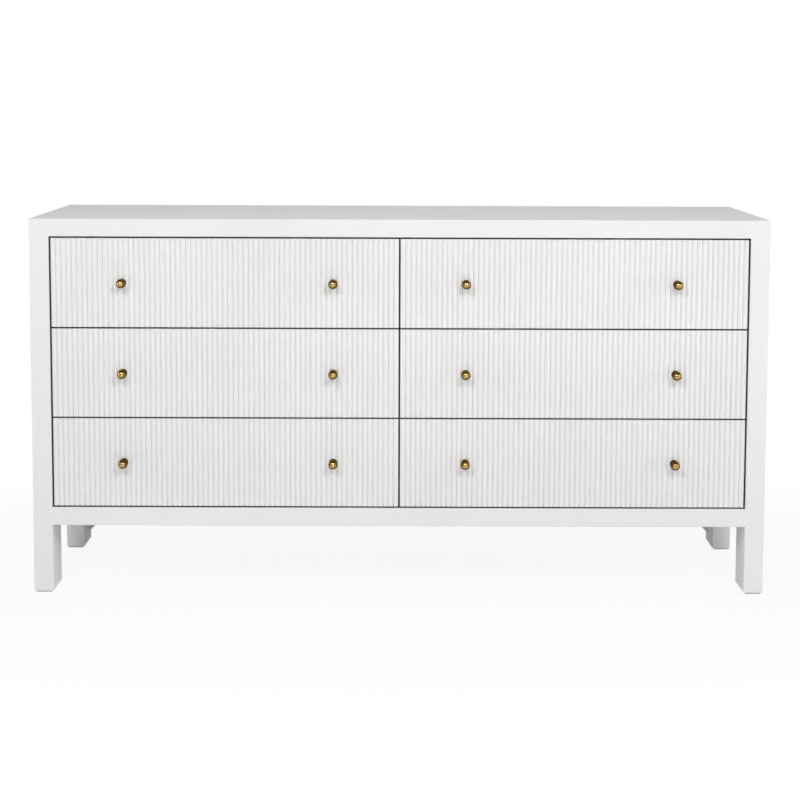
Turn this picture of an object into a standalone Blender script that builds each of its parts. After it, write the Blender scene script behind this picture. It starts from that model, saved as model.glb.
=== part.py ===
"""A chest of six drawers that stands on the legs of its own side panels.

Four thick painted boards frame two columns of three drawers. Each drawer has a reeded front, two
turned brass knobs, and a box whose grooved sides hang on strips that are fixed inside the case.

X runs along the width, Y from the front to the back and Z up from the floor. The origin is on the
floor, at the centre of the rectangle that the chest covers with its knobs. Lengths are in metres.
"""

import math

import bmesh
import bpy
from mathutils import Matrix, Vector

# The case, without its knobs
WIDTH = 1.600
DEPTH = 0.500
HEIGHT = 0.823
TOP_THICKNESS = 0.039
SIDE_THICKNESS = 0.042
EDGE_RADIUS = 0.004
EDGE_SEGMENTS = 2

# What it stands on
LEG_HEIGHT = 0.150
LEG_DEPTH = 0.100
GLIDE_THICKNESS = 0.002
GLIDE_INSET = 0.004
BRACKET_CLEARANCE = 0.027
BRACKET_THICKNESS = 0.018
BRACKET_TIP = 0.003

# Boards inside the frame
RAIL_HEIGHT = 0.040
RAIL_THICKNESS = 0.040
REAR_RAIL_THICKNESS = 0.030
BOTTOM_THICKNESS = 0.018
PARTITION_THICKNESS = 0.020
PARTITION_SETBACK = 0.002
BACK_THICKNESS = 0.006
BACK_INSET = 0.006
REBATE_DEPTH = 0.010

# Drawer fronts
ROWS = ("top", "middle", "bottom")
COLUMNS = {"left": -1, "right": 1}
FRONT_GAP = 0.0035
FRONT_SETBACK = 0.001
FRONT_BOARD_THICKNESS = 0.016
REED_WIDTH = 0.01125
REED_RISE = 0.003
REED_FACETS = 4

# Drawer boxes
BOX_HEIGHT = 0.150
BOX_LIFT = 0.018
BOX_SIDE_THICKNESS = 0.015
BOX_SIDE_CLEARANCE = 0.0015
BOX_REAR_CLEARANCE = 0.012
BOX_BACK_THICKNESS = 0.012
BOX_BACK_SET_IN = 0.010
BOX_BACK_DROP = 0.012
HOUSING_DEPTH = 0.005
PANEL_THICKNESS = 0.006
PANEL_LIFT = 0.010
PANEL_GROOVE_DEPTH = 0.006

# Runner strips and the grooves that hang on them
RUNNER_THICKNESS = 0.008
RUNNER_HEIGHT = 0.016
RUNNER_LIFT = 0.070
RUNNER_REAR_CLEARANCE = 0.020
GROOVE_END_CLEARANCE = 0.001
GROOVE_UNDER_CLEARANCE = 0.0007

# Knobs
KNOB_FROM_OUTER_EDGE = 0.1545
KNOB_FROM_INNER_EDGE = 0.142
BALL_RADIUS = 0.010
BALL_REACH = 0.022
NECK_RADIUS = 0.0045
NECK_FILLET = 0.0015
FLANGE_RADIUS = 0.009
FLANGE_THICKNESS = 0.003
FLANGE_EDGE = 0.001
STUD_RADIUS = 0.002
STUD_LENGTH = 0.015
STUD_CLEARANCE = 0.0003
KNOB_SIDES = 12
BALL_RINGS = 5

# Pieces that touch are drawn this far apart, and cutters run this far past what they cut
SEAT_GAP = 0.0003
OVERRUN = 0.005

# Places that follow from the sizes above
KNOB_REACH = SEAT_GAP + BALL_REACH + BALL_RADIUS - FRONT_SETBACK
FRONT_Y = (KNOB_REACH - DEPTH) / 2
BACK_Y = FRONT_Y + DEPTH
HALF_WIDTH = WIDTH / 2
HALF_OPENING = HALF_WIDTH - SIDE_THICKNESS
TOP_UNDERSIDE = HEIGHT - TOP_THICKNESS
RAIL_TOP = LEG_HEIGHT + RAIL_HEIGHT
BOTTOM_UNDERSIDE = RAIL_TOP - BOTTOM_THICKNESS
BACK_PANEL_Y = BACK_Y - BACK_INSET - BACK_THICKNESS

FRONT_WIDTH = (2 * HALF_OPENING - FRONT_GAP) / len(COLUMNS) - FRONT_GAP
FRONT_HEIGHT = (TOP_UNDERSIDE - RAIL_TOP - FRONT_GAP) / len(ROWS) - FRONT_GAP
FRONT_THICKNESS = REED_RISE + FRONT_BOARD_THICKNESS
FRONT_CENTRE_X = (FRONT_WIDTH + FRONT_GAP) / 2
CROWN_Y = FRONT_Y + FRONT_SETBACK
FRONT_BACK_Y = CROWN_Y + FRONT_THICKNESS

BAY_WIDTH = HALF_OPENING - PARTITION_THICKNESS / 2
BAY_CENTRE_X = (HALF_OPENING + PARTITION_THICKNESS / 2) / 2
BOX_WIDTH = BAY_WIDTH - 2 * BOX_SIDE_CLEARANCE
BOX_DEPTH = BACK_PANEL_Y - BOX_REAR_CLEARANCE - FRONT_BACK_Y - SEAT_GAP
PANEL_WIDTH = BOX_WIDTH - 2 * (BOX_SIDE_THICKNESS - PANEL_GROOVE_DEPTH + SEAT_GAP)
PANEL_BOTTOM = BOX_LIFT + PANEL_LIFT + SEAT_GAP
PANEL_TOP = PANEL_BOTTOM + PANEL_THICKNESS
RUNNER_BOTTOM = BOX_LIFT + RUNNER_LIFT + GROOVE_UNDER_CLEARANCE
RUNNER_TOP = RUNNER_BOTTOM + RUNNER_HEIGHT
RUNNER_GROOVE_DEPTH = SEAT_GAP + RUNNER_THICKNESS + GROOVE_END_CLEARANCE - BOX_SIDE_CLEARANCE

# Colours as linear red, green and blue
WHITE_PAINT = (0.83, 0.82, 0.80)
WHITE_BACKING = (0.74, 0.73, 0.70)
BIRCH = (0.62, 0.47, 0.30)
BEECH = (0.50, 0.32, 0.18)
BRASS = (0.52, 0.35, 0.13)
GREY_FELT = (0.34, 0.33, 0.31)


def clear_scene():
    for obj in list(bpy.data.objects):
        bpy.data.objects.remove(obj, do_unlink=True)


def make_material(name, colour, roughness, metallic=0.0):
    material = bpy.data.materials.new(name)
    material.use_nodes = True
    shader = material.node_tree.nodes["Principled BSDF"]
    shader.inputs["Base Color"].default_value = (*colour, 1.0)
    shader.inputs["Roughness"].default_value = roughness
    shader.inputs["Metallic"].default_value = metallic
    return material


def place(name, mesh, location=(0, 0, 0), parent=None):
    """Adds an object for the mesh. The location is counted from the parent."""
    obj = bpy.data.objects.new(name, mesh)
    bpy.context.scene.collection.objects.link(obj)
    obj.location = location
    obj.parent = parent
    return obj


def finish_mesh(bm, name, material):
    bmesh.ops.recalc_face_normals(bm, faces=bm.faces)
    mesh = bpy.data.meshes.new(name)
    bm.to_mesh(mesh)
    bm.free()
    mesh.materials.append(material)
    return mesh


def add_board(bm, low, high):
    """Adds a board between two opposite corners and returns its vertices."""
    low, high = Vector(low), Vector(high)
    to_board = Matrix.Translation((low + high) / 2) @ Matrix.Diagonal((*(high - low), 1))
    return bmesh.ops.create_cube(bm, size=1, matrix=to_board)["verts"]


def board_mesh(name, low, high, material):
    bm = bmesh.new()
    add_board(bm, low, high)
    return finish_mesh(bm, name, material)


def add_prism(bm, corners, along):
    """Adds the solid that the closed outline sweeps as it moves along the vector."""
    face = bm.faces.new([bm.verts.new(corner) for corner in corners])
    swept = bmesh.ops.extrude_face_region(bm, geom=[face])["geom"]
    moved = [item for item in swept if isinstance(item, bmesh.types.BMVert)]
    bmesh.ops.translate(bm, verts=moved, vec=along)


def round_edges(bm, is_rounded):
    chosen = [edge for edge in bm.edges if is_rounded(*(vert.co for vert in edge.verts))]
    bmesh.ops.bevel(
        bm,
        geom=chosen,
        offset=EDGE_RADIUS,
        offset_type="OFFSET",
        segments=EDGE_SEGMENTS,
        profile=0.5,
        affect="EDGES",
        clamp_overlap=True,
    )


def both_at(first, second, axis, value):
    """True if both ends of an edge have this coordinate."""
    return math.isclose(first[axis], value, abs_tol=SEAT_GAP) and math.isclose(
        second[axis], value, abs_tol=SEAT_GAP
    )


def make_cutter(name, low, high):
    """A board that Booleans take away from others. It isn't a piece of the chest."""
    bm = bmesh.new()
    add_board(bm, low, high)
    mesh = bpy.data.meshes.new(name)
    bm.to_mesh(mesh)
    bm.free()
    cutter = place(name, mesh)
    cutter.hide_render = True
    cutter.display_type = "WIRE"
    return cutter


def cut_away(obj, cutter):
    cut = obj.modifiers.new(cutter.name, "BOOLEAN")
    cut.operation = "DIFFERENCE"
    cut.solver = "EXACT"
    cut.object = cutter


def settled_mesh(obj, name):
    """The mesh of an object with its modifiers applied. The object itself is removed."""
    graph = bpy.context.evaluated_depsgraph_get()
    mesh = bpy.data.meshes.new_from_object(obj.evaluated_get(graph))
    mesh.name = name
    bpy.data.objects.remove(obj, do_unlink=True)
    return mesh


def make_top(paint, rebate):
    bm = bmesh.new()
    add_board(bm, (-HALF_WIDTH, FRONT_Y, TOP_UNDERSIDE), (HALF_WIDTH, BACK_Y, HEIGHT))

    def is_rounded(first, second):
        upright = first.xy == second.xy
        return upright or both_at(first, second, 2, HEIGHT)

    round_edges(bm, is_rounded)
    top = place("top_panel", finish_mesh(bm, "top_panel", paint))
    cut_away(top, rebate)


def make_side(name, side, paint, rebate):
    """A side panel, from its legs up to the top panel. The side is -1 on the left and 1 on the right."""
    outer = side * HALF_WIDTH
    foot = GLIDE_THICKNESS + SEAT_GAP
    head = TOP_UNDERSIDE - SEAT_GAP
    outline = (
        (FRONT_Y, foot),
        (FRONT_Y, head),
        (BACK_Y, head),
        (BACK_Y, foot),
        (BACK_Y - LEG_DEPTH, foot),
        (BACK_Y - LEG_DEPTH, LEG_HEIGHT),
        (FRONT_Y + LEG_DEPTH, LEG_HEIGHT),
        (FRONT_Y + LEG_DEPTH, foot),
    )
    bm = bmesh.new()
    add_prism(bm, [(outer, y, z) for y, z in outline], (-side * SIDE_THICKNESS, 0, 0))

    def is_rounded(first, second):
        on_outer_face = both_at(first, second, 0, outer)
        at_head = both_at(first, second, 2, head)
        return (on_outer_face and not at_head) or both_at(first, second, 2, foot)

    round_edges(bm, is_rounded)
    panel = place(name, finish_mesh(bm, name, paint))
    cut_away(panel, rebate)


def make_case(paint, backing):
    rebate = make_cutter(
        "back_rebate_cutter",
        (-HALF_OPENING - REBATE_DEPTH, BACK_PANEL_Y - SEAT_GAP, LEG_HEIGHT - SEAT_GAP),
        (HALF_OPENING + REBATE_DEPTH, BACK_Y + OVERRUN, TOP_UNDERSIDE + REBATE_DEPTH),
    )
    make_top(paint, rebate)
    make_side("left_side_panel", -1, paint, rebate)
    make_side("right_side_panel", 1, paint, rebate)

    between = HALF_OPENING - SEAT_GAP
    rail_back = FRONT_Y + RAIL_THICKNESS
    boards = {
        "front_rail": ((-between, FRONT_Y, LEG_HEIGHT), (between, rail_back, RAIL_TOP), paint),
        "bottom_panel": (
            (-between, rail_back + SEAT_GAP, BOTTOM_UNDERSIDE),
            (between, BACK_PANEL_Y - SEAT_GAP, RAIL_TOP),
            paint,
        ),
        "rear_rail": (
            (-between, BACK_PANEL_Y - SEAT_GAP - REAR_RAIL_THICKNESS, LEG_HEIGHT),
            (between, BACK_PANEL_Y - SEAT_GAP, BOTTOM_UNDERSIDE - SEAT_GAP),
            paint,
        ),
        "centre_partition": (
            (-PARTITION_THICKNESS / 2, FRONT_BACK_Y + PARTITION_SETBACK, RAIL_TOP + SEAT_GAP),
            (PARTITION_THICKNESS / 2, BACK_PANEL_Y - SEAT_GAP, TOP_UNDERSIDE - SEAT_GAP),
            paint,
        ),
        "back_panel": (
            (SEAT_GAP - HALF_OPENING - REBATE_DEPTH, BACK_PANEL_Y, LEG_HEIGHT),
            (
                HALF_OPENING + REBATE_DEPTH - SEAT_GAP,
                BACK_PANEL_Y + BACK_THICKNESS,
                TOP_UNDERSIDE + REBATE_DEPTH - SEAT_GAP,
            ),
            backing,
        ),
    }
    for name, (low, high, material) in boards.items():
        place(name, board_mesh(name, low, high, material))


def make_brackets(paint):
    """Triangular brackets between the rear legs and the rear rail, flush with the back of the rail."""
    back = BACK_PANEL_Y - SEAT_GAP
    head = LEG_HEIGHT - SEAT_GAP
    reach = head - BRACKET_CLEARANCE
    for word, side in COLUMNS.items():
        wall = side * (HALF_OPENING - SEAT_GAP)
        outline = (
            (wall, BRACKET_CLEARANCE),
            (wall - side * BRACKET_TIP, BRACKET_CLEARANCE),
            (wall - side * reach, head - BRACKET_TIP),
            (wall - side * reach, head),
            (wall, head),
        )
        bm = bmesh.new()
        add_prism(bm, [(x, back, z) for x, z in outline], (0, -BRACKET_THICKNESS, 0))
        name = word + "_corner_bracket"
        place(name, finish_mesh(bm, name, paint))


def make_glides(felt):
    width = SIDE_THICKNESS - 2 * GLIDE_INSET
    depth = LEG_DEPTH - 2 * GLIDE_INSET
    mesh = board_mesh(
        "glide", (-width / 2, -depth / 2, 0), (width / 2, depth / 2, GLIDE_THICKNESS), felt
    )
    rows = {"front": FRONT_Y + LEG_DEPTH / 2, "rear": BACK_Y - LEG_DEPTH / 2}
    for where, y in rows.items():
        for word, side in COLUMNS.items():
            x = side * (HALF_WIDTH - SIDE_THICKNESS / 2)
            place(where + "_" + word + "_glide", mesh, (x, y, 0))


def reeded_outline():
    """The plan of a drawer front. Each reed is an arc over its own width, its crown at Y = 0."""
    count = max(1, round(FRONT_WIDTH / REED_WIDTH))
    half_chord = FRONT_WIDTH / count / 2
    half_angle = 2 * math.atan2(REED_RISE, half_chord)
    radius = half_chord / math.sin(half_angle)
    outline = [(-FRONT_WIDTH / 2, FRONT_THICKNESS), (-FRONT_WIDTH / 2, REED_RISE)]
    for reed in range(count):
        crown = (2 * reed + 1) * half_chord - FRONT_WIDTH / 2
        for facet in range(1, REED_FACETS + 1):
            angle = half_angle * (2 * facet / REED_FACETS - 1)
            outline.append((crown + radius * math.sin(angle), radius * (1 - math.cos(angle))))
    outline.append((FRONT_WIDTH / 2, FRONT_THICKNESS))
    return outline


def knob_places(side):
    """Where the knobs of a front stand across it, the outer one first."""
    half = FRONT_WIDTH / 2
    return (
        ("outer", side * (half - KNOB_FROM_OUTER_EDGE)),
        ("inner", side * (KNOB_FROM_INNER_EDGE - half)),
    )


def front_mesh(side, paint):
    """A reeded front with the holes for its knobs and, in its back, the groove for the drawer's bottom."""
    bm = bmesh.new()
    add_prism(bm, [(x, y, 0) for x, y in reeded_outline()], (0, 0, FRONT_HEIGHT))
    front = place("front_blank", finish_mesh(bm, "front_blank", paint))

    cutters = bmesh.new()
    box_x = side * (BAY_CENTRE_X - FRONT_CENTRE_X)
    reach = PANEL_WIDTH / 2 + SEAT_GAP
    add_board(
        cutters,
        (box_x - reach, FRONT_THICKNESS - PANEL_GROOVE_DEPTH, PANEL_BOTTOM - SEAT_GAP),
        (box_x + reach, FRONT_THICKNESS + OVERRUN, PANEL_TOP + SEAT_GAP),
    )
    for _, x in knob_places(side):
        to_hole = Matrix.Translation((x, FRONT_THICKNESS / 2, FRONT_HEIGHT / 2))
        bmesh.ops.create_cone(
            cutters,
            cap_ends=True,
            segments=KNOB_SIDES,
            radius1=STUD_RADIUS + STUD_CLEARANCE,
            radius2=STUD_RADIUS + STUD_CLEARANCE,
            depth=FRONT_THICKNESS + 2 * OVERRUN,
            matrix=to_hole @ Matrix.Rotation(math.radians(90), 4, "X"),
        )
    cutter = place("front_cutter", finish_mesh(cutters, "front_cutter", paint))
    cut_away(front, cutter)
    mesh = settled_mesh(front, "reeded_front")
    bpy.data.objects.remove(cutter, do_unlink=True)
    smooth(mesh)
    return mesh


def smooth(mesh):
    mesh.shade_smooth()
    mesh.set_sharp_from_angle(angle=math.radians(40))


def box_mesh(timber):
    """Two grooved sides and a back in one frame. X = 0 is the middle of the box, Y = 0 its front."""
    groove = (RUNNER_LIFT, RUNNER_LIFT + GROOVE_UNDER_CLEARANCE + RUNNER_HEIGHT + SEAT_GAP)
    slot = (PANEL_LIFT, PANEL_LIFT + PANEL_THICKNESS + 2 * SEAT_GAP)
    slot_floor = BOX_SIDE_THICKNESS - PANEL_GROOVE_DEPTH
    outline = (
        (0, 0),
        (0, groove[0]),
        (RUNNER_GROOVE_DEPTH, groove[0]),
        (RUNNER_GROOVE_DEPTH, groove[1]),
        (0, groove[1]),
        (0, BOX_HEIGHT),
        (BOX_SIDE_THICKNESS, BOX_HEIGHT),
        (BOX_SIDE_THICKNESS, slot[1]),
        (slot_floor, slot[1]),
        (slot_floor, slot[0]),
        (BOX_SIDE_THICKNESS, slot[0]),
        (BOX_SIDE_THICKNESS, 0),
    )
    sides = []
    for side in COLUMNS.values():
        bm = bmesh.new()
        corners = [(side * (BOX_WIDTH / 2 - inward), 0, z) for inward, z in outline]
        add_prism(bm, corners, (0, BOX_DEPTH, 0))
        sides.append(place("box_side", finish_mesh(bm, "box_side", timber)))

    reach = BOX_WIDTH / 2 - BOX_SIDE_THICKNESS + HOUSING_DEPTH
    back_y = BOX_DEPTH - BOX_BACK_SET_IN
    low = (-reach, back_y - BOX_BACK_THICKNESS, slot[1])
    high = (reach, back_y, BOX_HEIGHT - BOX_BACK_DROP)
    frame = place("box_back", board_mesh("box_back", low, high, timber))
    for side in sides:
        join = frame.modifiers.new(side.name, "BOOLEAN")
        join.operation = "UNION"
        join.solver = "EXACT"
        join.object = side
    mesh = settled_mesh(frame, "drawer_box")
    for side in sides:
        bpy.data.objects.remove(side, do_unlink=True)
    return mesh


def panel_mesh(timber):
    """A drawer's bottom, from the groove in the front to the back of the box. Y = 0 is the box's front."""
    rear = BOX_DEPTH - BOX_BACK_SET_IN
    return board_mesh(
        "drawer_bottom",
        (-PANEL_WIDTH / 2, -PANEL_GROOVE_DEPTH, PANEL_BOTTOM - BOX_LIFT),
        (PANEL_WIDTH / 2, rear, PANEL_TOP - BOX_LIFT),
        timber,
    )


def knob_profile():
    """Radius and distance in front of the reeds, from the end of the stud to the tip of the ball."""
    start = math.asin(NECK_RADIUS / BALL_RADIUS)
    profile = [
        (0, -STUD_LENGTH),
        (STUD_RADIUS, -STUD_LENGTH),
        (STUD_RADIUS, 0),
        (FLANGE_RADIUS, 0),
        (FLANGE_RADIUS, FLANGE_THICKNESS - FLANGE_EDGE),
        (FLANGE_RADIUS - FLANGE_EDGE, FLANGE_THICKNESS),
        (NECK_RADIUS + NECK_FILLET, FLANGE_THICKNESS),
        (NECK_RADIUS, FLANGE_THICKNESS + NECK_FILLET),
    ]
    for ring in range(BALL_RINGS + 1):
        angle = start + (math.pi - start) * ring / BALL_RINGS
        radius = 0 if ring == BALL_RINGS else BALL_RADIUS * math.sin(angle)
        profile.append((radius, BALL_REACH - BALL_RADIUS * math.cos(angle)))
    return profile


def knob_mesh(brass):
    """A knob turned about the Y axis, with the back of its flange at Y = 0."""
    bm = bmesh.new()
    points = [bm.verts.new((radius, -reach, 0)) for radius, reach in knob_profile()]
    edges = [bm.edges.new(pair) for pair in zip(points, points[1:])]
    bmesh.ops.spin(
        bm,
        geom=points + edges,
        cent=(0, 0, 0),
        axis=(0, 1, 0),
        angle=math.tau,
        steps=KNOB_SIDES,
        use_merge=True,
        use_normal_flip=False,
        use_duplicate=False,
    )
    bmesh.ops.remove_doubles(bm, verts=bm.verts, dist=SEAT_GAP / 10)
    mesh = finish_mesh(bm, "ball_knob", brass)
    smooth(mesh)
    return mesh


def make_runner(name, wall_x, inward, z, timber):
    """A strip on the wall at wall_x, which the drawer's groove hangs on. Its front end stops the drawer."""
    wall = wall_x + inward * SEAT_GAP
    face = wall + inward * RUNNER_THICKNESS
    low = (min(wall, face), FRONT_BACK_Y + SEAT_GAP, z + RUNNER_BOTTOM)
    high = (max(wall, face), BACK_PANEL_Y - RUNNER_REAR_CLEARANCE, z + RUNNER_TOP)
    place(name, board_mesh(name, low, high, timber))


def make_drawers(paint, birch, beech, brass):
    boxes = box_mesh(birch)
    panels = panel_mesh(birch)
    knobs = knob_mesh(brass)
    for column, side in COLUMNS.items():
        fronts = front_mesh(side, paint)
        box_x = side * (BAY_CENTRE_X - FRONT_CENTRE_X)
        for row, row_name in enumerate(ROWS):
            name = row_name + "_" + column
            z = TOP_UNDERSIDE - (row + 1) * (FRONT_GAP + FRONT_HEIGHT)
            drawer = place(name + "_drawer", None, (side * FRONT_CENTRE_X, CROWN_Y, z))
            place(name + "_front", fronts, parent=drawer)
            box_at = (box_x, FRONT_THICKNESS + SEAT_GAP, BOX_LIFT)
            place(name + "_drawer_box", boxes, box_at, drawer)
            place(name + "_drawer_bottom", panels, box_at, drawer)
            for where, x in knob_places(side):
                knob_at = (x, -SEAT_GAP, FRONT_HEIGHT / 2)
                place(name + "_" + where + "_knob", knobs, knob_at, drawer)
            make_runner(name + "_outer_runner", side * HALF_OPENING, -side, z, beech)
            make_runner(name + "_inner_runner", side * PARTITION_THICKNESS / 2, side, z, beech)


def main():
    clear_scene()
    paint = make_material("white_paint", WHITE_PAINT, 0.38)
    backing = make_material("white_backing", WHITE_BACKING, 0.60)
    birch = make_material("birch", BIRCH, 0.55)
    beech = make_material("beech", BEECH, 0.50)
    brass = make_material("brass", BRASS, 0.18, metallic=1.0)
    felt = make_material("grey_felt", GREY_FELT, 0.95)
    make_case(paint, backing)
    make_brackets(paint)
    make_glides(felt)
    make_drawers(paint, birch, beech, brass)


main()
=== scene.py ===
"""The looks of a white chest of six reeded drawers with turned brass knobs.

The painted frame, the reeded fronts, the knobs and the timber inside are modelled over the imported
model, finished with node materials and lit by ten softboxes. Lengths are in metres.
"""

import math

import bmesh
import bpy
from mathutils import Matrix, Vector


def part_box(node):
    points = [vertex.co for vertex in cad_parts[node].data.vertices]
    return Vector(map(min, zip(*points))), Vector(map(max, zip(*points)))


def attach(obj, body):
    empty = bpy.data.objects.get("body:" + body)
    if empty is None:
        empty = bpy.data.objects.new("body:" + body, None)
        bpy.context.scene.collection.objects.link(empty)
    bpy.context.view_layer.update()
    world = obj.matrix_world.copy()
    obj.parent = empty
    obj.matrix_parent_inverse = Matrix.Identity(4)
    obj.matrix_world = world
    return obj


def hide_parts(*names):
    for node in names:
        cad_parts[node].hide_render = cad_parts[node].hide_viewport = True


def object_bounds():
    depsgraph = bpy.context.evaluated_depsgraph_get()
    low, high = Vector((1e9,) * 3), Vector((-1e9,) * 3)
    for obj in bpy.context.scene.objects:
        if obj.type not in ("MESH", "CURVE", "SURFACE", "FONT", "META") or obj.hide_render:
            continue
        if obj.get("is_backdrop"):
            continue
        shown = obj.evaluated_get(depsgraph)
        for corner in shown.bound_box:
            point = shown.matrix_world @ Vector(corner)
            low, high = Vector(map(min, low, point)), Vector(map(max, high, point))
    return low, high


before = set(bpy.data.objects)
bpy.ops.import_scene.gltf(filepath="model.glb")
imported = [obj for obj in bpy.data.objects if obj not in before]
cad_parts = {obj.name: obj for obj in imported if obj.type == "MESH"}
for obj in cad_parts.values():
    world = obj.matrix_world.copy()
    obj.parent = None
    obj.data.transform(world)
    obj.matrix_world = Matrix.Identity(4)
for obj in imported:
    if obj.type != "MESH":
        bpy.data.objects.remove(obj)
cad_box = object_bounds()

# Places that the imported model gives
TOP_LOW, TOP_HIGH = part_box("top_panel")
SIDE_LOW, SIDE_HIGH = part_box("left_side_panel")
RAIL_LOW, RAIL_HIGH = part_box("front_rail")
BACKING_LOW, BACKING_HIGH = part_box("back_panel")
GLIDE_LOW, GLIDE_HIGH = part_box("front_left_glide")
FRONT_LOW, FRONT_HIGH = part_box("top_left_front")
HALF_WIDTH = TOP_HIGH.x
HALF_OPENING = -SIDE_HIGH.x
FRONT_Y = TOP_LOW.y
BACK_Y = TOP_HIGH.y
CROWN_Y = FRONT_LOW.y
FRONT_THICKNESS = FRONT_HIGH.y - FRONT_LOW.y

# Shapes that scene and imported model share
SEAT_GAP = 0.0003
GLIDE_INSET = 0.004
REED_WIDTH = 0.01125
REED_RISE = 0.003
BOX_SIDE_THICKNESS = 0.015
BALL_RADIUS = 0.010
BALL_REACH = 0.022
NECK_RADIUS = 0.0045
FLANGE_RADIUS = 0.009
FLANGE_THICKNESS = 0.003
STUD_RADIUS = 0.002
STUD_CLEARANCE = 0.0003

# The screws and washers behind the knobs
SCREW_RADIUS = 0.0042
SCREW_HEIGHT = 0.0026
WASHER_RADIUS = 0.0055
WASHER_HOLE_RADIUS = 0.0023
WASHER_THICKNESS = 0.0010
WASHER_GAP = SEAT_GAP / 3

# Softened edges
TOP_EDGE_RADIUS = 0.0028
FOOT_RADIUS = 0.0020
BOARD_RADIUS = 0.0015
INNER_BOARD_RADIUS = 0.0010
BOX_RIM_RADIUS = 0.0030
BOX_BOARD_RADIUS = 0.0005
DRAWER_BOTTOM_RADIUS = INNER_BOARD_RADIUS / 3
REED_END_RADIUS = 0.0006
EDGE_STEPS = 4

# How fine the turned and reeded pieces are
REED_STEPS = 12
REED_END_STEPS = 3
LATHE_SIDES = 64
BALL_STEPS = 28
ARC_STEPS = 5

# Boards that join without a visible line are sawn apart this far from the joint
SAW_OFFSET = 0.0001

# Corners of boards, and of turned pieces, that lie closer than this are one
MERGE_DISTANCE = SAW_OFFSET / 10
TURNED_MERGE_DISTANCE = SAW_OFFSET / 100

# How far a cutter passes the face that it opens
OVERRUN = 0.005

# Faces that meet at less than the first angle are made one, and edges over the second are corners
FLAT_ANGLE = math.radians(1)
SHARP_ANGLE = math.radians(35)

ROWS = ("top", "middle", "bottom")
COLUMNS = {"left": -1, "right": 1}

# The camera, fitted to the photograph's edges and gaps
CAMERA_PLACE = Vector((-0.0053, -4.1998, 1.0886))
CAMERA_PITCH = math.radians(5.712)
CAMERA_YAW = math.radians(-0.086)
CAMERA_ROLL = math.radians(0.195)
FOCAL_PIXELS = 1844.2
AXIS_ROW = 280
IMAGE_PIXELS = 800
SENSOR_MM = 36

# The studio
SOFTBOXES = {
    "key_left": {"at": Vector((-1.0, FRONT_Y - 2.4, 2.15)), "size": (0.6, 0.8), "watts": 31},
    "key_right": {"at": Vector((1.0, FRONT_Y - 2.4, 2.15)), "size": (0.6, 0.8), "watts": 33},
    "left": {"at": Vector((-2.6, FRONT_Y - 0.5, 1.1)), "size": (0.75, 1.7), "watts": 17},
    "right": {"at": Vector((2.6, FRONT_Y - 0.5, 1.1)), "size": (0.75, 1.7), "watts": 24},
    "low": {"at": Vector((0, FRONT_Y - 3.0, 0.35)), "size": (2.6, 0.5), "watts": 8},
    "overhead": {"at": Vector((0, 0.1, 3.2)), "size": (2.6, 0.8), "watts": 8},
    "rear": {"at": Vector((0, BACK_Y + 2.0, 2.6)), "size": (2.6, 0.8), "watts": 15},
    "rear_low": {"at": Vector((0, BACK_Y + 2.6, 0.42)), "size": (2.6, 0.6), "watts": 21},
    "rear_left": {"at": Vector((-2.8, BACK_Y + 0.8, 1.0)), "size": (0.75, 1.5), "watts": 7},
    "rear_right": {"at": Vector((2.8, BACK_Y + 0.8, 1.0)), "size": (0.75, 1.5), "watts": 3},
}
SOFTBOX_AIM = Vector((0, FRONT_Y, 0.5))
AMBIENT = (0.02, 0.02, 0.021)
STUDIO_RADIUS = 8
STUDIO_SIDES = 64
FLOOR_RADIUS = 40


def is_wide(item):
    """True for a colour or a vector, false for a single number."""
    if isinstance(item, Signal):
        return item.socket.type in ("VECTOR", "RGBA")
    return isinstance(item, tuple)


class Signal:
    """An output of a node tree. Arithmetic on it adds the Math or Vector Math nodes that it needs."""

    def __init__(self, nodes, socket):
        self.nodes = nodes
        self.socket = socket

    def combine(self, operation, first, second):
        """The result of an operation on two values, by Vector Math where either is a colour or a vector."""
        kind, operands = "Math", [first, second]
        if any(is_wide(item) for item in operands):
            kind = "VectorMath"
            operands = [(item,) * 3 if isinstance(item, (int, float)) else item for item in operands]
        return self.nodes.add(kind, {"operation": operation}, dict(enumerate(operands)))

    def __add__(self, other):
        return self.combine("ADD", self, other)

    def __radd__(self, other):
        return self.combine("ADD", other, self)

    def __sub__(self, other):
        return self.combine("SUBTRACT", self, other)

    def __rsub__(self, other):
        return self.combine("SUBTRACT", other, self)

    def __mul__(self, other):
        return self.combine("MULTIPLY", self, other)

    def __rmul__(self, other):
        return self.combine("MULTIPLY", other, self)

    def __truediv__(self, other):
        return self.combine("DIVIDE", self, other)

    def __rtruediv__(self, other):
        return self.combine("DIVIDE", other, self)

    def __pow__(self, other):
        return self.combine("POWER", self, other)

    def __rpow__(self, other):
        return self.combine("POWER", other, self)

    def limited(self):
        """The value kept between 0 and 1."""
        return self.nodes.add("Clamp", inputs={"Value": self})

    def part(self, axis):
        """One of the three numbers of a vector: X, Y or Z."""
        return self.nodes.add("SeparateXYZ", inputs={"Vector": self}, output=axis)

    def between(self, low, high):
        """0 up to low, 1 from high on, with a smooth step between."""
        ends = {"Value": self, "From Min": low, "From Max": high}
        return self.nodes.add("MapRange", {"interpolation_type": "SMOOTHSTEP"}, ends)


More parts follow.
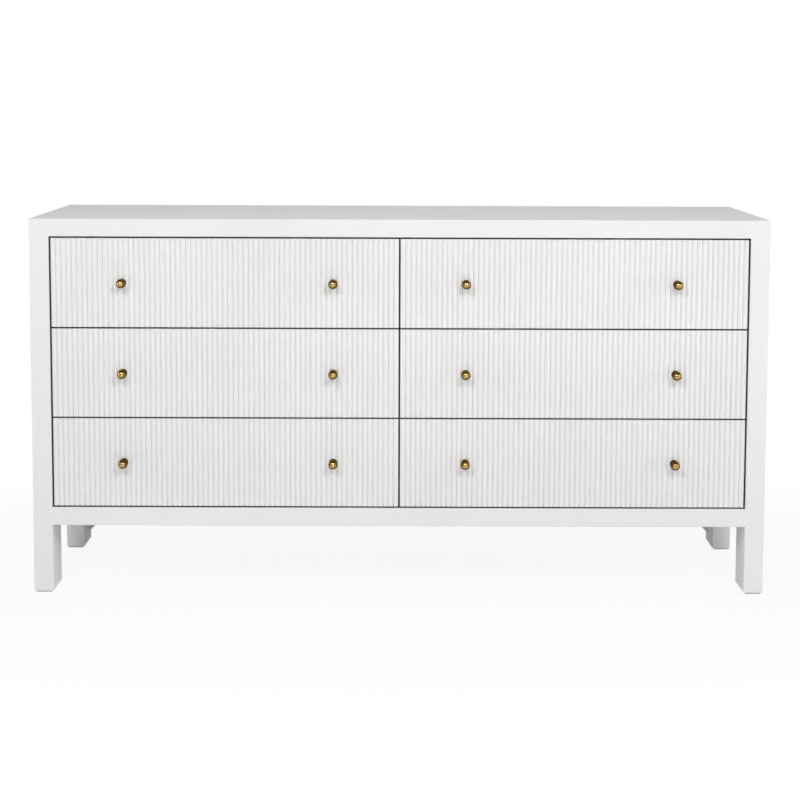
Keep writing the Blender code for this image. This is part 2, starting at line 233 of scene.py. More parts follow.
class Nodes:
    """A node tree in the making."""

    def __init__(self, tree):
        self.tree = tree

    def find(self, sockets, name):
        if isinstance(name, int):
            return sockets[name]
        return next(s for s in sockets if name in (s.identifier, s.name))

    def feed(self, socket, value):
        if isinstance(value, Signal):
            self.tree.links.new(value.socket, socket)
        elif socket.type == "RGBA":
            socket.default_value = (*value, 1)
        else:
            socket.default_value = value

    def add(self, kind, settings=None, inputs=None, output=0):
        """Adds a node: its settings first, then the values or links of its sockets."""
        node = self.tree.nodes.new("ShaderNode" + kind)
        for name, value in (settings or {}).items():
            setattr(node, name, value)
        for name, value in (inputs or {}).items():
            self.feed(self.find(node.inputs, name), value)
        return Signal(self, self.find(node.outputs, output))

    def place(self):
        return self.add("TexCoord", output="Object")

    def noise(self, place, size, detail=2.0, distortion=0.0):
        """Noise around 0.5 whose blotches are about this long."""
        inputs = {"Vector": place, "Scale": 1 / size, "Detail": detail, "Distortion": distortion}
        return self.add("TexNoise", inputs=inputs)

    def blend(self, share, first, second):
        """The first colour where the share is 0, the second where it is 1."""
        inputs = {"Factor_Float": share, "A_Color": first, "B_Color": second}
        return self.add("Mix", {"data_type": "RGBA"}, inputs, "Result_Color")

    def less(self, first, second):
        """1 where the first is less than the second, otherwise 0."""
        return self.add("Math", {"operation": "LESS_THAN"}, {0: first, 1: second})

    def length(self, vector):
        return self.add("VectorMath", {"operation": "LENGTH"}, {0: vector}, "Value")

    def bump(self, height, depth):
        return self.add("Bump", inputs={"Height": height, "Distance": depth})


def start_finish(name, constants):
    """A new material, the Nodes of its tree and a function that feeds its Principled BSDF."""
    material = bpy.data.materials.new(name)
    material.use_nodes = True
    nodes = Nodes(material.node_tree)
    shader = material.node_tree.nodes["Principled BSDF"]

    def finish_with(values):
        for socket, value in values.items():
            nodes.feed(shader.inputs[socket], value)

    finish_with(constants)
    return material, nodes, finish_with


def paint_finish(name, light, shade, gloss, primer_and_gap_shade, groove_shade=None):
    """Sprayed satin lacquer: a faint change of tone, orange peel and an uneven sheen.

    Just behind the faces that show when the drawers are shut it is thin, so it is dull and lets the
    dark undercoat through, on the frame only above the front rail. That undercoat is dark enough to be
    painted shade as well, darkening the gaps round the drawers. A groove shade is given for reeded
    fronts: painted shade that darkens the bottoms of their grooves.
    """
    blotch, sheen_blotch, mottling = 0.42, 0.07, (0.3, 0.7)
    peel, fine_peel, fine_peel_share, peel_depth = 0.0035, 0.0011, 0.35, 0.00002
    roughness_spread = 0.08
    overspray, dullness = (0.002, 0.008), 0.3
    groove_narrowing = 6
    material, nodes, finish_with = start_finish(name, {"IOR": 1.5})
    place = nodes.place()
    tone = nodes.noise(place, blotch, detail=3)
    orange_peel = nodes.noise(place, peel, detail=1)
    orange_peel += fine_peel_share * nodes.noise(place, fine_peel, detail=1)
    sheen = nodes.noise(place, sheen_blotch, detail=4)
    colour = nodes.blend(tone.between(*mottling), light, shade)
    roughness = 1 - gloss - roughness_spread / 2 + roughness_spread * sheen
    if groove_shade:
        # Painted shade: the reeds' grooves turn darker towards their bottoms, where shade falls.
        depth = (place.part("Y") - CROWN_Y) / REED_RISE
        colour = nodes.blend(depth.limited() ** groove_narrowing, colour, groove_shade)
        # Painted shade: behind the reeds the fronts show a grey undercoat, dark enough to shade the gaps
        # round the drawers.
        thin = (place.part("Y") - CROWN_Y - REED_RISE).between(*overspray)
        primer_and_gap_shade_share = thin
    else:
        # Painted shade: inside the case, above the front rail, a dark undercoat shows, which darkens the
        # gaps round the drawers.
        from_middle = nodes.add("Math", {"operation": "ABSOLUTE"}, {0: place.part("X")})
        thin = (place.part("Y") - FRONT_Y).between(*overspray)
        thin = thin * nodes.less(from_middle, HALF_OPENING + SEAT_GAP)
        thin = thin * nodes.less(place.part("Z"), TOP_LOW.z + SEAT_GAP)
        primer_and_gap_shade_share = thin * nodes.less(RAIL_HIGH.z - SEAT_GAP, place.part("Z"))
    finish_with(
        {
            "Base Color": nodes.blend(primer_and_gap_shade_share, colour, primer_and_gap_shade),
            "Roughness": roughness + dullness * thin,
            "Normal": nodes.bump(orange_peel, peel_depth),
        }
    )
    return material


def timber_finish(name, pale, dark, grain, stretch=(90.0, 5.0)):
    """Planed timber with its fibres along one axis (0 is X, 1 is Y, 2 is Z).

    The stretch is how fine its figure is across the fibres and along them.
    """
    ring_size, ring_waviness, fibre_size, fibre_depth = 1.6, 0.4, 0.22, 0.00008
    ring_share, contrast = 0.65, (0.36, 0.66)
    pore_size, pore_edges, pore_strength, pore_shade = 0.045, (0.62, 0.72), 0.35, 0.5
    least_rough, roughness_spread = 0.44, 0.18
    across, along = stretch
    scales = tuple(along if axis == grain else across for axis in range(3))
    material, nodes, finish_with = start_finish(name, {"IOR": 1.45})
    fibres = nodes.place() * scales
    rings = nodes.noise(fibres, ring_size, detail=2, distortion=ring_waviness)
    streaks = nodes.noise(fibres, fibre_size, detail=4)
    pores = nodes.noise(fibres, pore_size, detail=1).between(*pore_edges)
    figure = (ring_share * rings + (1 - ring_share) * streaks).between(*contrast)
    colour = nodes.blend(figure, pale, dark)
    colour = nodes.blend(pore_strength * pores, colour, tuple(pore_shade * part for part in dark))
    finish_with(
        {
            "Base Color": colour,
            "Roughness": least_rough + roughness_spread * streaks,
            "Normal": nodes.bump(streaks - pores, fibre_depth),
        }
    )
    return material


def board_finish(name, light, dark):
    """Painted hardboard: a pressed, fibrous face under one thin coat."""
    mat_size, mat_share, contrast = 0.018, 0.4, (0.3, 0.7)
    fibre_size, fibre_depth, fibre_curl, squash = 0.0016, 0.00012, 1.5, (1.0, 1.0, 2.2)
    least_rough, roughness_spread = 0.55, 0.12
    material, nodes, finish_with = start_finish(name, {"IOR": 1.45})
    place = nodes.place()
    mat = nodes.noise(place, mat_size, detail=4)
    fibre = nodes.noise(place * squash, fibre_size, detail=3, distortion=fibre_curl)
    mottle = (mat_share * mat + (1 - mat_share) * fibre).between(*contrast)
    finish_with(
        {
            "Base Color": nodes.blend(mottle, light, dark),
            "Roughness": least_rough + roughness_spread * fibre,
            "Normal": nodes.bump(fibre, fibre_depth),
        }
    )
    return material


def brass_finish(name):
    """Brass polished on the crown of the ball, with a brown patina towards its neck and on the flange.

    The faint rings of the lathe run about the Y axis, which is the knob's own. The darkening away from
    the crown is partly patina and partly painted shade, standing in for the dark reflections round the
    rim of the ball.
    """
    bright, deep, patina_and_rim_shade = (0.68, 0.48, 0.19), (0.50, 0.32, 0.10), (0.125, 0.072, 0.016)
    edge_tint = (0.75, 0.60, 0.36)
    ring_pitch, ring_share, relief = 0.00035, 0.5, 0.000004
    cloud, contrast = 0.006, (0.35, 0.7)
    patina_and_rim_shade_edges, unevenness = (0.02, 0.34), 0.3
    least_rough, cloud_roughness, patina_roughness = 0.06, 0.08, 0.16
    material, nodes, finish_with = start_finish(name, {"Metallic": 1.0, "Specular Tint": edge_tint})
    place = nodes.place()
    across_axis = (1.0, 0.0, 1.0)
    from_axis = nodes.length(place * across_axis)
    rings = nodes.add("Math", {"operation": "SINE"}, {0: from_axis * (math.tau / ring_pitch)})
    tarnish = nodes.noise(place, cloud, detail=3)
    # Painted shade: the ball darkens away from its crown, partly as patina and partly in place of the dark
    # reflections round its rim.
    from_crown = (place.part("Y") + BALL_REACH + BALL_RADIUS) / BALL_RADIUS
    patina_and_rim_shade_share = (from_crown + unevenness * (tarnish - 0.5)).between(*patina_and_rim_shade_edges)
    polished = nodes.blend(tarnish.between(*contrast), bright, deep)
    finish_with(
        {
            "Base Color": nodes.blend(patina_and_rim_shade_share, polished, patina_and_rim_shade),
            "Roughness": least_rough + cloud_roughness * tarnish + patina_roughness * patina_and_rim_shade_share,
            "Normal": nodes.bump(ring_share * rings + (1 - ring_share) * tarnish, relief),
        }
    )
    return material


def steel_finish(name):
    """Zinc-plated steel with a slightly spangled face."""
    bright, dull = (0.66, 0.66, 0.64), (0.50, 0.51, 0.52)
    spangle, spangle_depth = 0.0016, 0.00002
    least_rough, roughness_spread = 0.24, 0.25
    material, nodes, finish_with = start_finish(name, {"Metallic": 1.0})
    plate = nodes.noise(nodes.place(), spangle, detail=3)
    finish_with(
        {
            "Base Color": nodes.blend(plate, bright, dull),
            "Roughness": least_rough + roughness_spread * plate,
            "Normal": nodes.bump(plate, spangle_depth),
        }
    )
    return material


def felt_finish(name, light, dark):
    """Pressed wool felt, matted and slightly furry."""
    clump, clump_share, contrast = 0.004, 0.4, (0.35, 0.65)
    hair, hair_curl, hair_depth = 0.0006, 2.0, 0.0004
    least_rough, roughness_spread = 0.88, 0.1
    material, nodes, finish_with = start_finish(name, {"IOR": 1.4})
    place = nodes.place()
    wool = clump_share * nodes.noise(place, clump, detail=4)
    wool += (1 - clump_share) * nodes.noise(place, hair, detail=2, distortion=hair_curl)
    finish_with(
        {
            "Base Color": nodes.blend(wool.between(*contrast), dark, light),
            "Roughness": least_rough + roughness_spread * wool,
            "Normal": nodes.bump(wool, hair_depth),
        }
    )
    return material


def make_finishes():
    white, shaded = (0.84, 0.837, 0.832), (0.81, 0.808, 0.804)
    # The undercoats are dark partly as painted shade for the gaps round the drawers, and the groove colour
    # is painted shade.
    primer_and_gap_shade, thin_primer_and_gap_shade, painted_groove_shade = (0.22, 0.215, 0.21), (0.42, 0.41, 0.40), (0.68, 0.68, 0.675)
    pale_board, dark_board = (0.76, 0.75, 0.73), (0.71, 0.70, 0.675)
    pale_birch, dark_birch = (0.66, 0.51, 0.34), (0.50, 0.35, 0.20)
    pale_beech, dark_beech, fine_grain = (0.55, 0.36, 0.21), (0.42, 0.25, 0.13), (140.0, 9.0)
    pale_wool, dark_wool = (0.46, 0.45, 0.43), (0.34, 0.33, 0.32)
    frame_gloss, reed_gloss = 0.36, 0.76
    along_x, along_y = 0, 1
    return {
        "paint": paint_finish("satin_paint", white, shaded, frame_gloss, primer_and_gap_shade),
        "reeds": paint_finish("satin_paint_on_reeds", white, shaded, reed_gloss, thin_primer_and_gap_shade, painted_groove_shade),
        "backing": board_finish("painted_hardboard", pale_board, dark_board),
        "birch_along_x": timber_finish("birch_along_x", pale_birch, dark_birch, along_x),
        "birch_along_y": timber_finish("birch_along_y", pale_birch, dark_birch, along_y),
        "beech": timber_finish("beech", pale_beech, dark_beech, along_y, fine_grain),
        "brass": brass_finish("lacquered_brass"),
        "steel": steel_finish("zinc_plated_steel"),
        "felt": felt_finish("grey_wool_felt", pale_wool, dark_wool),
    }


def to_object(name, mesh):
    obj = bpy.data.objects.new(name, mesh)
    bpy.context.scene.collection.objects.link(obj)
    return obj


def to_mesh(bm, name):
    bmesh.ops.recalc_face_normals(bm, faces=bm.faces)
    mesh = bpy.data.meshes.new(name)
    bm.to_mesh(mesh)
    bm.free()
    return mesh


def settled(obj):
    """The mesh of a scratch object with its modifiers applied. The object itself is removed."""
    graph = bpy.context.evaluated_depsgraph_get()
    mesh = bpy.data.meshes.new_from_object(obj.evaluated_get(graph))
    bpy.data.objects.remove(obj, do_unlink=True)
    return mesh


def dress(name, mesh, finish, body, replaced=(), slot=None, at=Matrix()):
    """Makes a mesh a piece of the chest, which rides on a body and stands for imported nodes."""
    piece = to_object(name, mesh)
    piece.matrix_world = at
    if not mesh.materials:
        mesh.materials.append(finish)
        mesh.shade_smooth()
        mesh.set_sharp_from_angle(angle=SHARP_ANGLE)
    evened = piece.modifiers.new("even_normals", "WEIGHTED_NORMAL")
    evened.keep_sharp = True
    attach(piece, body)
    if replaced:
        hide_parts(*replaced)
    return piece


def add_board(bm, low, high):
    low, high = Vector(low), Vector(high)
    to_board = Matrix.Translation((low + high) / 2) @ Matrix.Diagonal((*(high - low), 1))
    bmesh.ops.create_cube(bm, size=1, matrix=to_board)


def add_prism(bm, corners, along):
    """Adds the solid that a closed outline sweeps as it moves along a vector."""
    face = bm.faces.new([bm.verts.new(corner) for corner in corners])
    swept = bmesh.ops.extrude_face_region(bm, geom=[face])["geom"]
    moved = [item for item in swept if isinstance(item, bmesh.types.BMVert)]
    bmesh.ops.translate(bm, verts=moved, vec=along)


def join_or_cut(obj, meshes, operation):
    """Applies Booleans with each mesh in turn and returns the resulting mesh."""
    tools = [to_object("tool", mesh) for mesh in meshes]
    for tool in tools:
        step = obj.modifiers.new("step", "BOOLEAN")
        step.operation = operation
        step.solver = "EXACT"
        step.object = tool
    mesh = settled(obj)
    for tool in tools:
        bpy.data.objects.remove(tool, do_unlink=True)
    return mesh


def whole_faces(mesh):
    """A bmesh of the mesh with its corners joined and its flat faces in one piece."""
    bm = bmesh.new()
    bm.from_mesh(mesh)
    bmesh.ops.remove_doubles(bm, verts=bm.verts, dist=MERGE_DISTANCE)
    bmesh.ops.dissolve_limit(bm, angle_limit=FLAT_ANGLE, verts=bm.verts, edges=bm.edges)
    return bm


def softened(mesh, radius_at):
    """The mesh with its outer edges rounded, each by the radius that radius_at gives for its two ends."""
    bm = whole_faces(mesh)
    weight = bm.edges.layers.float.new("bevel_weight_edge")
    radii = {}
    for edge in bm.edges:
        if edge.is_convex and edge.calc_face_angle(0) > SHARP_ANGLE:
            radii[edge] = radius_at(*(vert.co for vert in edge.verts))
    widest = max(radii.values())
    for edge, radius in radii.items():
        edge[weight] = radius / widest
    obj = to_object("blank", to_mesh(bm, "blank"))
    rounding = obj.modifiers.new("rounding", "BEVEL")
    rounding.limit_method = "WEIGHT"
    rounding.width = widest
    rounding.segments = EDGE_STEPS
    return settled(obj)


def sawn(mesh, name, cuts):
    """The part of a solid that stays when each (point, direction) cut takes off what lies that way."""
    bm = bmesh.new()
    bm.from_mesh(mesh)
    for point, direction in cuts:
        everything = bm.verts[:] + bm.edges[:] + bm.faces[:]
        cut = bmesh.ops.bisect_plane(
            bm, geom=everything, dist=MERGE_DISTANCE, plane_co=point, plane_no=direction, clear_outer=True
        )
        rim = [item for item in cut["geom_cut"] if isinstance(item, bmesh.types.BMEdge)]
        bmesh.ops.holes_fill(bm, edges=rim)
    return to_mesh(bm, name)


def all_at(ends, axis, value):
    """True if both ends of an edge lie in the plane."""
    return all(math.isclose(end[axis], value, abs_tol=SEAT_GAP) for end in ends)


def make_painted_frame(finishes):
    """The top, the sides and the front rail, shaped as one and sawn apart, so no joint shows."""
    leg_depth = GLIDE_HIGH.y - GLIDE_LOW.y + 2 * GLIDE_INSET
    foot, leg_height, underside = SIDE_LOW.z, RAIL_LOW.z, TOP_LOW.z
    outline = (
        (FRONT_Y, foot),
        (FRONT_Y, underside),
        (BACK_Y, underside),
        (BACK_Y, foot),
        (BACK_Y - leg_depth, foot),
        (BACK_Y - leg_depth, leg_height),
        (FRONT_Y + leg_depth, leg_height),
        (FRONT_Y + leg_depth, foot),
    )
    parts = []
    for side in COLUMNS.values():
        bm = bmesh.new()
        inward = (side * (HALF_OPENING - HALF_WIDTH), 0, 0)
        add_prism(bm, [(side * HALF_WIDTH, y, z) for y, z in outline], inward)
        parts.append(to_mesh(bm, "side"))
    bm = bmesh.new()
    add_board(bm, (-HALF_OPENING, FRONT_Y, leg_height), (HALF_OPENING, RAIL_HIGH.y, RAIL_HIGH.z))
    parts.append(to_mesh(bm, "rail"))
    bm = bmesh.new()
    add_board(bm, (-HALF_WIDTH, FRONT_Y, underside), (HALF_WIDTH, BACK_Y, TOP_HIGH.z))
    blank = join_or_cut(to_object("top", to_mesh(bm, "top")), parts, "UNION")

    rebate = bmesh.new()
    reach = BACKING_HIGH.x + SEAT_GAP
    add_board(
        rebate,
        (-reach, BACKING_LOW.y - SEAT_GAP, BACKING_LOW.z - SEAT_GAP),
        (reach, BACK_Y + OVERRUN, BACKING_HIGH.z + SEAT_GAP),
    )
    blank = join_or_cut(to_object("blank", blank), [to_mesh(rebate, "rebate")], "DIFFERENCE")

    def radius_at(*ends):
        if all_at(ends, 2, TOP_HIGH.z):
            return TOP_EDGE_RADIUS
        if all_at(ends, 2, foot):
            return FOOT_RADIUS
        return BOARD_RADIUS

    shell = softened(blank, radius_at)
    joint = HALF_OPENING - SAW_OFFSET
    bed = Vector((0, 0, underside - SAW_OFFSET))
    up, down, left, right = (Vector(way) for way in ((0, 0, 1), (0, 0, -1), (-1, 0, 0), (1, 0, 0)))
    boards = {
        "top_panel": [(bed, down)],
        "left_side_panel": [(bed, up), (left * joint, right)],
        "right_side_panel": [(bed, up), (right * joint, left)],
        "front_rail": [(bed, up), (left * joint, left), (right * joint, right)],
    }
    for node, cuts in boards.items():
        mesh = sawn(shell, "painted_" + node, cuts)
        dress("painted_" + node, mesh, finishes["paint"], "case", [node], "white_paint")


def make_plain_boards(finishes):
    """The boards, brackets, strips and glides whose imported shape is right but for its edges."""
    boards = {
        "bottom_panel": ("paint", "white_paint"),
        "rear_rail": ("paint", "white_paint"),
        "centre_partition": ("paint", "white_paint"),
        "back_panel": ("backing", "white_backing"),
        "left_corner_bracket": ("paint", "white_paint"),
        "right_corner_bracket": ("paint", "white_paint"),
    }
    for where in ("front", "rear"):
        for column in COLUMNS:
            boards[f"{where}_{column}_glide"] = ("felt", "grey_felt")
    for row in ROWS:
        for column in COLUMNS:
            for where in ("outer", "inner"):
                boards[f"{row}_{column}_{where}_runner"] = ("beech", "beech")
    for node, (finish, slot) in boards.items():
        mesh = softened(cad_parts[node].data, lambda *ends: INNER_BOARD_RADIUS)
        dress("eased_" + node, mesh, finishes[finish], "case", [node], slot)


def reeded_section(width):
    """Plan of a front from left to right, the crowns of its reeds at Y = 0."""
    count = round(width / REED_WIDTH)
    half_chord = width / count / 2
    half_angle = 2 * math.atan2(REED_RISE, half_chord)
    radius = half_chord / math.sin(half_angle)
    section = [(-width / 2, REED_RISE)]
    for reed in range(count):
        crown = (2 * reed + 1) * half_chord - width / 2
        for step in range(1, REED_STEPS + 1):
            angle = half_angle * (2 * step / REED_STEPS - 1)
            section.append((crown + radius * math.sin(angle), radius * (1 - math.cos(angle))))
    return section


def front_levels(height):
    """Heights of the rows of a front, and how far the reeds draw back there to ease their ends."""
    ends = []
    for step in range(REED_END_STEPS + 1):
        angle = math.radians(90) * step / REED_END_STEPS
        drawn_back = REED_END_RADIUS * (1 - math.sin(angle))
        ends.append((REED_END_RADIUS * (1 - math.cos(angle)), drawn_back))
    return ends + [(height - z, drawn_back) for z, drawn_back in reversed(ends)]


def front_mesh(node, bottom_node, knob_nodes):
    """A reeded front with the holes for its knobs and the groove for the bottom of its drawer."""
    low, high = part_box(node)
    centre_x = (low.x + high.x) / 2
    section = reeded_section(high.x - low.x)
    bm = bmesh.new()
    rows = []
    for z, drawn_back in front_levels(high.z - low.z):
        half = (high.x - low.x) / 2 - drawn_back
        plan = [(max(-half, min(half, x)), y + drawn_back) for x, y in section]
        plan += [(half, FRONT_THICKNESS), (-half, FRONT_THICKNESS)]
        rows.append([bm.verts.new((centre_x + x, CROWN_Y + y, low.z + z)) for x, y in plan])
    for lower, upper in zip(rows, rows[1:]):
        for i, corner in enumerate(lower):
            after = (i + 1) % len(lower)
            bm.faces.new((corner, lower[after], upper[after], upper[i]))
    bm.faces.new(rows[0])
    bm.faces.new(rows[-1])
    blank = to_object("front", to_mesh(bm, "front"))

    bottom_low, bottom_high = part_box(bottom_node)
    hole_radius, hole_sides = STUD_RADIUS + STUD_CLEARANCE, LATHE_SIDES // 2
    tools = bmesh.new()
    add_board(
        tools,
        (bottom_low.x - SEAT_GAP, bottom_low.y - SEAT_GAP, bottom_low.z - SEAT_GAP),
        (bottom_high.x + SEAT_GAP, high.y + OVERRUN, bottom_high.z + SEAT_GAP),
    )
    for knob in knob_nodes:
        knob_low, knob_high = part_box(knob)
        middle = (knob_low + knob_high) / 2
        bmesh.ops.create_cone(
            tools,
            cap_ends=True,
            segments=hole_sides,
            radius1=hole_radius,
            radius2=hole_radius,
            depth=FRONT_THICKNESS + 2 * OVERRUN,
            matrix=Matrix.Translation((middle.x, (low.y + high.y) / 2, middle.z))
            @ Matrix.Rotation(math.radians(90), 4, "X"),
        )
    return join_or_cut(blank, [to_mesh(tools, "tools")], "DIFFERENCE")


def arc(centre, radius, start, end, steps):
    """Points (radius, reach) on an arc in the plane of a lathe profile, from one angle to another."""
    points = []
    for step in range(steps + 1):
        angle = math.radians(start + (end - start) * step / steps)
        points.append((centre[0] + radius * math.sin(angle), centre[1] - radius * math.cos(angle)))
    return points


def turned(profile, name):
    """A profile of (radius, reach towards the front) turned about the Y axis."""
    bm = bmesh.new()
    points = [bm.verts.new((radius, -reach, 0)) for radius, reach in profile]
    edges = [bm.edges.new(pair) for pair in zip(points, points[1:])]
    bmesh.ops.spin(
        bm,
        geom=points + edges,
        cent=(0, 0, 0),
        axis=(0, 1, 0),
        angle=math.tau,
        steps=LATHE_SIDES,
        use_merge=True,
        use_normal_flip=False,
        use_duplicate=False,
    )
    bmesh.ops.remove_doubles(bm, verts=bm.verts, dist=TURNED_MERGE_DISTANCE)
    return to_mesh(bm, name)


def knob_mesh():
    """Flange, neck and ball in one turning. The back of the flange is at Y = 0."""
    stud_length = 0.015
    rim, fillet = 0.0009, 0.0016
    ball_start = math.degrees(math.asin(NECK_RADIUS / BALL_RADIUS))
    profile = [(0, -stud_length), (STUD_RADIUS, -stud_length), (STUD_RADIUS, 0)]
    profile += arc((FLANGE_RADIUS - rim / 2, rim / 2), rim / 2, 0, 90, ARC_STEPS)
    profile += arc((FLANGE_RADIUS - rim, FLANGE_THICKNESS - rim), rim, 90, 180, ARC_STEPS)
    profile += arc((NECK_RADIUS + fillet, FLANGE_THICKNESS + fillet), fillet, 0, -90, ARC_STEPS)
    profile += arc((0, BALL_REACH), BALL_RADIUS, ball_start, 180, BALL_STEPS)
    profile[-1] = (0, BALL_REACH + BALL_RADIUS)
    return turned(profile, "turned_knob")


def screw_mesh():
    """A pan head with a cross recess. Its seat is at Y = 0 and its head points to -Y."""
    crown_share, roundness = 0.55, 0.5
    slot_length_share, slot_width_share, slot_depth_share = 0.52, 0.12, 0.6
    crown = SCREW_HEIGHT * crown_share
    profile = [(0, 0), (SCREW_RADIUS, 0), (SCREW_RADIUS, SCREW_HEIGHT - crown)]
    for step in range(1, ARC_STEPS + 1):
        angle = math.radians(90) * step / ARC_STEPS
        radius = SCREW_RADIUS * math.cos(angle) ** roundness
        profile.append((radius, SCREW_HEIGHT - crown * (1 - math.sin(angle))))
    profile[-1] = (0, SCREW_HEIGHT)
    half_length, half_width = SCREW_RADIUS * slot_length_share, SCREW_RADIUS * slot_width_share
    mouth, bottom = -SCREW_HEIGHT - OVERRUN, SCREW_HEIGHT * slot_depth_share - SCREW_HEIGHT
    slots = []
    for half_x, half_z in ((half_length, half_width), (half_width, half_length)):
        bm = bmesh.new()
        add_board(bm, (-half_x, mouth, -half_z), (half_x, bottom, half_z))
        slots.append(to_mesh(bm, "slot"))
    return join_or_cut(to_object("head", turned(profile, "head")), slots, "DIFFERENCE")


def washer_mesh():
    """A flat ring whose seat is at Y = 0."""
    hole = WASHER_HOLE_RADIUS
    profile = [(hole, 0), (WASHER_RADIUS, 0), (WASHER_RADIUS, WASHER_THICKNESS), (hole, WASHER_THICKNESS)]
    return turned(profile + profile[:1], "washer")


def make_drawer(row, column, finishes, knob, screw, washer):
    """The front, the knobs with their screws, and the box of one drawer."""
    side = COLUMNS[column]
    name = f"{row}_{column}"
    body = name + "_drawer"
    knobs = {where: f"{name}_{where}_knob" for where in ("outer", "inner")}
    front = front_mesh(name + "_front", name + "_drawer_bottom", knobs.values())
    dress(f"reeded_{name}_front", front, finishes["reeds"], body, [name + "_front"], "white_paint")

    for where, node in knobs.items():
        low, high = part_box(node)
        centre = (low + high) / 2
        at = Matrix.Translation((centre.x, low.y + BALL_REACH + BALL_RADIUS, centre.z))
        dress(f"turned_{node}", knob, finishes["brass"], body, [node], "brass", at)
        seat = FRONT_HIGH.y + WASHER_GAP
        for part, mesh, lift in (("washer", washer, 0), ("screw", screw, WASHER_THICKNESS)):
            at = Matrix.Translation((centre.x, seat + lift, centre.z)) @ Matrix.Rotation(math.pi, 4, "Z")
            dress(f"{node}_{part}", mesh, finishes["steel"], body, at=at)

    node = name + "_drawer_box"
    low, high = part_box(node)

    def radius_at(*ends):
        return BOX_RIM_RADIUS if all_at(ends, 2, high.z) else BOX_BOARD_RADIUS

    blank = softened(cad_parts[node].data, radius_at)
    half_inside = (high.x - low.x) / 2 - BOX_SIDE_THICKNESS - SAW_OFFSET
    middle = Vector(((low.x + high.x) / 2, 0, 0))
    left, right = Vector((-1, 0, 0)), Vector((1, 0, 0))
    boards = {
        "left_side": ([(middle + left * half_inside, right)], "birch_along_y"),
        "right_side": ([(middle + right * half_inside, left)], "birch_along_y"),
        "back": (
            [(middle + left * half_inside, left), (middle + right * half_inside, right)],
            "birch_along_x",
        ),
    }
    for word, (cuts, finish) in boards.items():
        board = f"{name}_box_{word}"
        dress(board, sawn(blank, board, cuts), finishes[finish], body, [node], "birch")

    node = name + "_drawer_bottom"
    mesh = softened(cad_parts[node].data, lambda *ends: DRAWER_BOTTOM_RADIUS)
    dress(f"eased_{node}", mesh, finishes["birch_along_x"], body, [node], "birch")


def add_softbox(name, at, size, watts):
    """A rectangular lamp that faces the front of the chest and stays out of the camera's view."""
    light = bpy.data.lights.new(name, "AREA")
    light.shape = "RECTANGLE"
    light.size, light.size_y = size
    light.energy = watts
    lamp = to_object(name, light)
    facing = (SOFTBOX_AIM - at).to_track_quat("-Z", "Y").to_matrix().to_4x4()
    lamp.matrix_world = Matrix.Translation(at) @ facing
    lamp.visible_camera = False


def seen_directly(nodes):
    """1 for rays from the camera, from gloss and through glass, and 0 for those that light the chest."""
    kinds = ("Camera", "Glossy", "Transmission")
    camera, glossy, transmission = (nodes.add("LightPath", output=f"Is {kind} Ray") for kind in kinds)
    return (camera + glossy + transmission).limited()


def make_world():
    """White where it is seen, and a faint even light on the chest."""
    world = bpy.data.worlds.new("studio")
    bpy.context.scene.world = world
    world.use_nodes = True
    nodes = Nodes(world.node_tree)
    background = world.node_tree.nodes["Background"]
    nodes.feed(background.inputs["Color"], nodes.blend(seen_directly(nodes), AMBIENT, (1, 1, 1)))


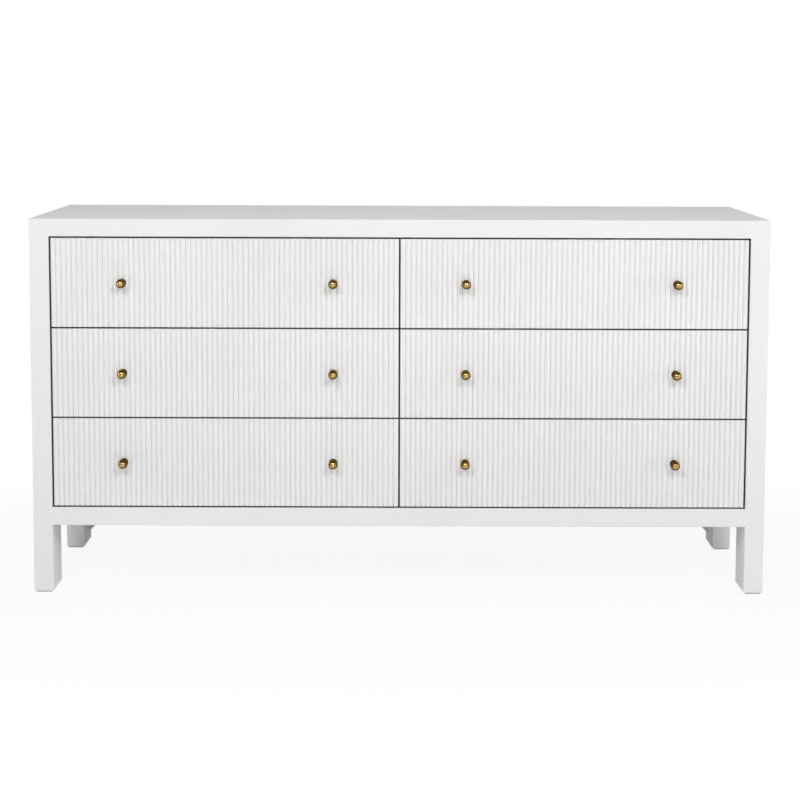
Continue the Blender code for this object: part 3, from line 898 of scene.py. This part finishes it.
def make_floor():
    """A pale floor that keeps the shadow near the chest and turns as white as the world farther out."""
    near, far, near_white = 0.5, 1.15, 0.90
    oval = (0.5, 1.0, 0.0)
    pale, dull = (0.8, 0.8, 0.8), 0.9
    bm = bmesh.new()
    bmesh.ops.create_circle(bm, cap_ends=True, segments=STUDIO_SIDES, radius=FLOOR_RADIUS)
    mesh = to_mesh(bm, "floor")
    material, nodes, _ = start_finish("floor", {"Base Color": pale, "Roughness": dull})
    distance = nodes.length(nodes.place() * oval)
    glow = nodes.add("Emission", inputs={"Color": (1, 1, 1), "Strength": 1.0})
    whiteness = near_white + (1 - near_white) * distance.between(near, far)
    diffuse = Signal(nodes, material.node_tree.nodes["Principled BSDF"].outputs["BSDF"])
    share = whiteness * seen_directly(nodes)
    surface = nodes.add("MixShader", inputs={0: share, 1: diffuse, 2: glow})
    nodes.feed(material.node_tree.nodes["Material Output"].inputs["Surface"], surface)
    mesh.materials.append(material)
    to_object("floor", mesh)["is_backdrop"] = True


def make_studio_shell():
    """The dim half of the studio on the camera's side, which shows only in what reflects it."""
    dim, dull = (0.30, 0.29, 0.28), 0.9
    bm = bmesh.new()
    sides, rings = STUDIO_SIDES, STUDIO_SIDES // 2
    bmesh.ops.create_uvsphere(bm, u_segments=sides, v_segments=rings, radius=STUDIO_RADIUS)
    beyond = [vert for vert in bm.verts if vert.co.z < 0 or vert.co.y > FRONT_Y]
    bmesh.ops.delete(bm, geom=beyond, context="VERTS")
    mesh = to_mesh(bm, "studio_shell")
    material, *_ = start_finish("studio_shell", {"Base Color": dim, "Roughness": dull})
    mesh.materials.append(material)
    shell = to_object("studio_shell", mesh)
    shell.visible_camera = False
    shell.visible_diffuse = False
    shell.visible_shadow = False
    shell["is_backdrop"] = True


def add_camera():
    """The photograph's view. The lens is shifted, so that its axis meets the picture at AXIS_ROW."""
    data = bpy.data.cameras.new("camera")
    data.sensor_width = SENSOR_MM
    data.lens = FOCAL_PIXELS / IMAGE_PIXELS * SENSOR_MM
    data.shift_y = (AXIS_ROW - IMAGE_PIXELS / 2) / IMAGE_PIXELS
    camera = to_object("camera", data)
    level = Matrix.Rotation(CAMERA_YAW, 4, "Z") @ Matrix.Rotation(math.radians(90) - CAMERA_PITCH, 4, "X")
    camera.matrix_world = Matrix.Translation(CAMERA_PLACE) @ level @ Matrix.Rotation(CAMERA_ROLL, 4, "Z")
    bpy.context.scene.camera = camera


def make_chest():
    finishes = make_finishes()
    make_painted_frame(finishes)
    make_plain_boards(finishes)
    knob = knob_mesh()
    screw = screw_mesh()
    washer = washer_mesh()
    for row in ROWS:
        for column in COLUMNS:
            make_drawer(row, column, finishes, knob, screw, washer)


make_chest()
add_camera()
make_world()
make_floor()
make_studio_shell()
for word, softbox in SOFTBOXES.items():
    add_softbox(word + "_softbox", **softbox)
bpy.context.scene.view_settings.view_transform = "Standard"

boxes = {"cad": cad_box, "visual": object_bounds()}
{name: [list(corner) for corner in box] for name, box in boxes.items()}
